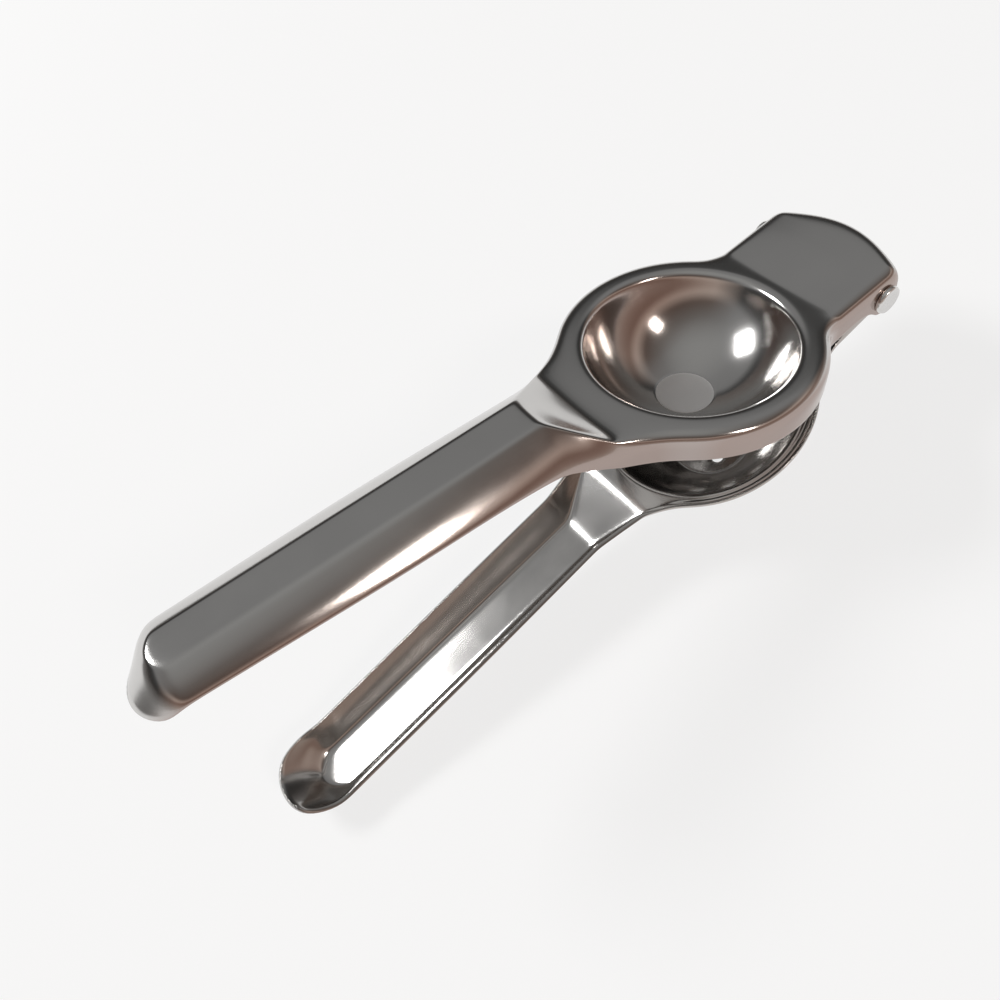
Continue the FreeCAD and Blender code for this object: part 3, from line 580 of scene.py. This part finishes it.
LOWER_WEB = web_middle(LOWER_RING, LOWER_WEB_RADIUS, LOWER_NECK_CORNER)
LOWER_ROUND = 1.2
lower_plan = (LOWER_RING, LOWER_JUNCTION, EAR_HALF, LOWER_WEB, LOWER_WEB_RADIUS)
lower_edge = ring_outline(*lower_plan, LOWER_ROUND)
lower_rim = ring_outline(*lower_plan, 0.0)
FLOOR_HALF = [(-145.5, 6.2), (-48.7, 5.8), (-33.35, 12.4)]
FLOOR_Z = [(-145.5, -5.05), (-48.7, -6.5), (-33.35, 0.0)]


def lower_neck_row(x):
    half, height = between(FLOOR_HALF, x), between(FLOOR_Z, x)
    return [Vector((x, half * place, height)) for place in NECK_PLACES]


lower_neck = [lower_neck_row(x) for x in
              (-33.35, -34.8, -40.5, -47.2, -49.2, -52, -70, -92, -115, -136, -143)]
lower_neck.append([Vector((-150.0 + 4.5 * place * place, 6.1 * place, -4.9)) for place in NECK_PLACES])
lower_hinge = [[Vector((x, 15.8 * place, 0)) for place in HINGE_PLACES] for x in
               (33.0, 36.0, 40.0, 44.9, 47.3, 49.7, 51.0)]
print("lower web's middle", [round(v, 2) for v in LOWER_WEB])

# %% lower lever: its rim, nose and ears
TROUGH_RIM = [(-145.5, 11.1), (-90, 11.1), (-48.7, 10.6), (-33.35, 13.3)]
LOWER_RIM_Z = 2.1


def trough_wall(floor, rim):
    """Wall that leaves the trough's floor in a round and ends at its rim."""
    round_off = floor.lerp(rim, 0.16) + Vector((0, 0, -0.25))
    return [floor, round_off, floor.lerp(rim, 0.5), floor.lerp(rim, 0.85), rim]


lower_walls = []
for side in (-1, 1):
    last = 0 if side < 0 else -1
    for row in lower_neck[:-1]:
        rim = Vector((row[last].x, side * between(TROUGH_RIM, row[last].x), LOWER_RIM_Z))
        lower_walls.append(trough_wall(row[last], rim))
    for number in RING_SPOKES:
        angle = side * number * STEP_ANGLE
        edge, rim = polar(lower_edge(angle), angle, 0), polar(lower_rim(angle), angle, 0)
        lower_walls.append([edge, edge.lerp(rim, 0.7) + Vector((0, 0, 0.35)), rim + Vector((0, 0, 1.2)),
                            rim + Vector((0, 0, 1.65)), rim + Vector((0, 0, LOWER_RIM_Z))])
EAR_TOP = [(33.0, 2.1), (36.2, 2.7), (40.4, 5.5), (45.2, 9.0), (47.5, 10.2), (50.2, 10.5), (52.9, 9.0)]
for side in (-1, 1):
    last = 0 if side < 0 else -1
    for row, (ear_x, ear_z) in zip(lower_hinge, EAR_TOP):
        edge = row[last]
        top = Vector((ear_x, side * EAR_HALF, ear_z))
        low = Vector((edge.x, side * EAR_HALF, LOWER_ROUND))
        high = low.lerp(top, 0.6)
        if row is lower_hinge[-1]:
            low, high = Vector((52.3, side * EAR_HALF, 1.9)), Vector((53.9, side * EAR_HALF, 5.6))
        lower_walls.append([edge, Vector((edge.x, side * 16.65, 0.35)), low, high, top])
SPOON_MID = {0: (-154.4, 0.0, 1.6), 1: (-153.7, 4.3, 1.6), 2: (-151.2, 8.1, 1.5), 3: (-146.6, 10.6, 1.0)}
SPOON_LIP = {0: (-158.0, 0.0, 6.4), 1: (-157.0, 5.0, 6.4), 2: (-153.6, 9.2, 6.1), 3: (-147.6, 11.5, 3.2)}
for place, floor in zip(NECK_PLACES, lower_neck[-1]):
    number = round(abs(place) * 3)
    side = math.copysign(1, place)
    mid = Vector((SPOON_MID[number][0], side * SPOON_MID[number][1], SPOON_MID[number][2]))
    lip = Vector((SPOON_LIP[number][0], side * SPOON_LIP[number][1], SPOON_LIP[number][2]))
    lower_walls.append([floor, floor.lerp(mid, 0.25) + Vector((0, 0, -0.3)), floor.lerp(mid, 0.65), mid, lip])
print("border corners on the lower lever:", len(lower_walls))

# %% lower lever: drill the bowl's bottom and press it
DRAIN_COUNT = 6
DRAIN_RING = 6.4
DRAIN_RADIUS = 1.75
DRAIN_SIDES = 16


def drilled_bottom(bm, ring_radius, depth):
    """Fill the bowl's open bottom with a disc that has seven drain holes."""
    edges = [e for e in bm.edges
             if e.is_boundary and max(v.co.xy.length for v in e.verts) < ring_radius + 0.5]
    middles = [Vector((0, 0, -depth))]
    for number in range(DRAIN_COUNT):
        angle = number * math.tau / DRAIN_COUNT
        middles.append(polar(DRAIN_RING, angle, -depth))
    for middle in middles:
        hole = bmesh.ops.create_circle(bm, cap_ends=False, radius=DRAIN_RADIUS, segments=DRAIN_SIDES,
                                       matrix=Matrix.Translation(middle))
        edges += list({edge for vert in hole["verts"] for edge in vert.link_edges})
    bmesh.ops.triangle_fill(bm, use_beauty=True, use_dissolve=False, edges=edges, normal=(0, 0, 1))
    face_outwards(bm)


lower_plate_edge = plate_edge_for(lower_edge, lower_neck[0], lower_hinge[0])
lower_skin = press(bowl_profile, lower_plate_edge, lower_neck, lower_hinge, lower_walls, open_end=True)
drilled_bottom(lower_skin, bowl_bottom, BOWL_DEPTH)
crease_ring(lower_skin, bowl_bottom, 0.8)
lower_piece = finish_sheet(lower_skin, "lower_lever_pressing", LOWER_PLACE, "lower", lower_steel)
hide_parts("lower_lever")

# %% [markdown]
# The rivet is a turned form: its half section is spun about its own axis. Its heads are flat with a soft
# edge, as a pressed rivet's are, and a very shallow dish marks where the tool set each of them.

# %% rivet
SHANK = 2.47
HEAD_FOOT = 20.42
RIVET_STEPS = 48


def rivet_half(side):
    """Half section from the middle of a head to the middle of the shank."""
    points = [(0, 21.86), (1.9, 21.88), (3.1, 22.0), (3.5, 21.9), (3.75, 21.5), (3.8, 21.0), (3.75, 20.6),
              (3.6, HEAD_FOOT), (SHANK, HEAD_FOOT), (SHANK, 0)]
    return [(radius, side * height) for radius, height in points]


rivet_bm = bmesh.new()
outline = [Vector((radius, height, 0)) for radius, height in rivet_half(-1) + rivet_half(1)[::-1][1:]]
outline_verts = [rivet_bm.verts.new(point) for point in outline]
outline_edges = [rivet_bm.edges.new(pair) for pair in zip(outline_verts, outline_verts[1:])]
bmesh.ops.spin(rivet_bm, geom=outline_verts + outline_edges, cent=(0, 0, 0), axis=(0, 1, 0),
               angle=math.tau, steps=RIVET_STEPS, use_merge=True)
bmesh.ops.remove_doubles(rivet_bm, verts=rivet_bm.verts, dist=0.001)
bmesh.ops.recalc_face_normals(rivet_bm, faces=rivet_bm.faces)
rivet_bm.transform(Matrix.Translation(hinge) @ Matrix.Scale(MM, 4))
rivet_mesh = bpy.data.meshes.new("riveted_pin")
rivet_bm.to_mesh(rivet_mesh)
rivet_bm.free()
for face in rivet_mesh.polygons:
    face.use_smooth = True
rivet_mesh.materials.append(rivet_steel)
rivet_piece = bpy.data.objects.new("riveted_pin", rivet_mesh)
bpy.context.scene.collection.objects.link(rivet_piece)
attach(rivet_piece, "upper")
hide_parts("hinge_rivet")
print("rivet has", len(rivet_mesh.polygons), "faces")

# %% [markdown]
# The floor is white paper. Part of it glows, and only to the camera and to what mirrors or shows through,
# so it reads as a white background and still takes the lamps' light and the tool's soft shadow.

# %% floor
PAPER_GLOW = 0.75
floor_mesh = bpy.data.meshes.new("floor")
floor_bm = bmesh.new()
bmesh.ops.create_grid(floor_bm, x_segments=2, y_segments=2, size=3.0)
floor_bm.to_mesh(floor_mesh)
floor_bm.free()
floor = bpy.data.objects.new("floor", floor_mesh)
bpy.context.scene.collection.objects.link(floor)
floor.location.z = -0.0002
paper = bpy.data.materials.new("white_paper")
paper.use_nodes = True
paper_nodes, paper_links = paper.node_tree.nodes, paper.node_tree.links
paper_nodes.remove(paper_nodes["Principled BSDF"])
matte = paper_nodes.new("ShaderNodeBsdfDiffuse")
matte.inputs["Color"].default_value = (0.85, 0.85, 0.85, 1)
glow = paper_nodes.new("ShaderNodeEmission")
glow.inputs["Color"].default_value = (1, 1, 1, 1)
glow.inputs["Strength"].default_value = 1.0
ray = paper_nodes.new("ShaderNodeLightPath")
seen = ray.outputs["Is Camera Ray"]
for kind in ("Is Glossy Ray", "Is Transmission Ray"):
    either = paper_nodes.new("ShaderNodeMath")
    either.operation = "ADD"
    either.use_clamp = True
    paper_links.new(seen, either.inputs[0])
    paper_links.new(ray.outputs[kind], either.inputs[1])
    seen = either.outputs["Value"]
share = paper_nodes.new("ShaderNodeMath")
share.operation = "MULTIPLY"
share.inputs[1].default_value = PAPER_GLOW
paper_links.new(seen, share.inputs[0])
blend = paper_nodes.new("ShaderNodeMixShader")
paper_links.new(share.outputs["Value"], blend.inputs["Fac"])
paper_links.new(matte.outputs["BSDF"], blend.inputs[1])
paper_links.new(glow.outputs["Emission"], blend.inputs[2])
paper_links.new(blend.outputs["Shader"], paper_nodes["Material Output"].inputs["Surface"])
floor_mesh.materials.append(paper)
print("floor is", round(floor.dimensions.x, 1), "m wide")

# %% [markdown]
# A polished tool looks like the room it is in, so the room is part of the finish: a grey ceiling, dark
# walls on the far side and warm brown furniture on the near side. It is a world of soft bands by height,
# and the floor is its lower half. Two soft lamps add the light and the bright spots in the cup.

# %% room that the steel mirrors
world = bpy.data.worlds.new("room")
bpy.context.scene.world = world
world.use_nodes = True
sky_nodes, sky_links = world.node_tree.nodes, world.node_tree.links
background = sky_nodes["Background"]
direction = sky_nodes.new("ShaderNodeTexCoord")
parts = sky_nodes.new("ShaderNodeSeparateXYZ")
sky_links.new(direction.outputs["Generated"], parts.inputs["Vector"])


def room_side(bands):
    """Colours of one side of the room, from the horizon at 0 to overhead at 1."""
    node = sky_nodes.new("ShaderNodeValToRGB")
    stops = node.color_ramp.elements
    for number, (height, colour) in enumerate(bands):
        stop = stops[number] if number < 2 else stops.new(height)
        stop.position, stop.color = height, (*colour, 1)
    sky_links.new(parts.outputs["Z"], node.inputs["Fac"])
    return node


FAR_WALL = [(0.0, (0.24, 0.235, 0.23)), (1.0, (0.36, 0.36, 0.355)), (0.12, (0.14, 0.13, 0.125)),
            (0.26, (0.04, 0.037, 0.035)), (0.44, (0.06, 0.06, 0.06)), (0.56, (0.26, 0.26, 0.26)),
            (0.80, (0.28, 0.28, 0.28))]
NEAR_WALL = [(0.0, (0.60, 0.55, 0.51)), (1.0, (0.36, 0.36, 0.355)), (0.15, (0.42, 0.33, 0.29)),
             (0.32, (0.28, 0.19, 0.155)), (0.45, (0.60, 0.49, 0.43)), (0.60, (0.14, 0.105, 0.09)),
             (0.80, (0.20, 0.185, 0.175))]
far_wall, near_wall = room_side(FAR_WALL), room_side(NEAR_WALL)
which = sky_nodes.new("ShaderNodeMapRange")
which.inputs["From Min"].default_value = -0.35
which.inputs["From Max"].default_value = 0.15
sky_links.new(parts.outputs["Y"], which.inputs["Value"])
room = sky_nodes.new("ShaderNodeMix")
room.data_type = "RGBA"
sky_links.new(which.outputs["Result"], room.inputs["Factor"])
sky_links.new(near_wall.outputs["Color"], room.inputs["A"])
sky_links.new(far_wall.outputs["Color"], room.inputs["B"])
sky_links.new(room.outputs["Result"], background.inputs["Color"])
print("room has", len(FAR_WALL) + len(NEAR_WALL), "bands")

# %% lamps
def soft_lamp(name, place, aim, size, power, colour=(1, 1, 1)):
    data = bpy.data.lights.new(name, "AREA")
    data.shape = "RECTANGLE"
    data.size, data.size_y = size
    data.energy = power
    data.color = colour
    lamp = bpy.data.objects.new(name, data)
    lamp.location = place
    lamp.rotation_euler = (Vector(aim) - Vector(place)).to_track_quat("-Z", "Y").to_euler()
    bpy.context.scene.collection.objects.link(lamp)
    return lamp


soft_lamp("window", (-0.9, 1.3, 1.6), (0, 0, 0.03), (0.7, 0.55), 30)
soft_lamp("doorway", (0.5, -1.5, 1.3), (0, 0, 0.03), (0.3, 0.4), 8, (1.0, 0.95, 0.9))

# %% [markdown]
# The camera was found from the photograph by fitting the ring, the cup's mouth, the handles' ends and the
# rivet of the drawing to their outlines. Its place and its three axes are kept in the upper lever's frame.

# %% camera
CAMERA_PLACE = Vector((-117.741, -107.941, 134.420))
CAMERA_RIGHT = Vector((0.80572, -0.58207, -0.10959))
CAMERA_DOWN = Vector((-0.51177, -0.59101, -0.62354))
CAMERA_AHEAD = Vector((0.29817, 0.55848, -0.77407))
axes = Matrix((CAMERA_RIGHT, -CAMERA_DOWN, -CAMERA_AHEAD)).transposed().to_4x4()
turn = UPPER_PLACE.to_3x3().normalized().to_4x4()
camera_data = bpy.data.cameras.new("camera")
camera_data.lens = 28.41
camera_data.sensor_width = 36
camera_data.shift_x = -0.0046
camera_data.shift_y = -0.0037
camera_data.clip_start = 0.01
camera = bpy.data.objects.new("camera", camera_data)
camera.matrix_world = Matrix.Translation(UPPER_PLACE @ CAMERA_PLACE) @ turn @ axes
bpy.context.scene.collection.objects.link(camera)
bpy.context.scene.camera = camera
bpy.context.scene.view_settings.view_transform = "Standard"
print("camera at", [round(v, 3) for v in camera.matrix_world.translation])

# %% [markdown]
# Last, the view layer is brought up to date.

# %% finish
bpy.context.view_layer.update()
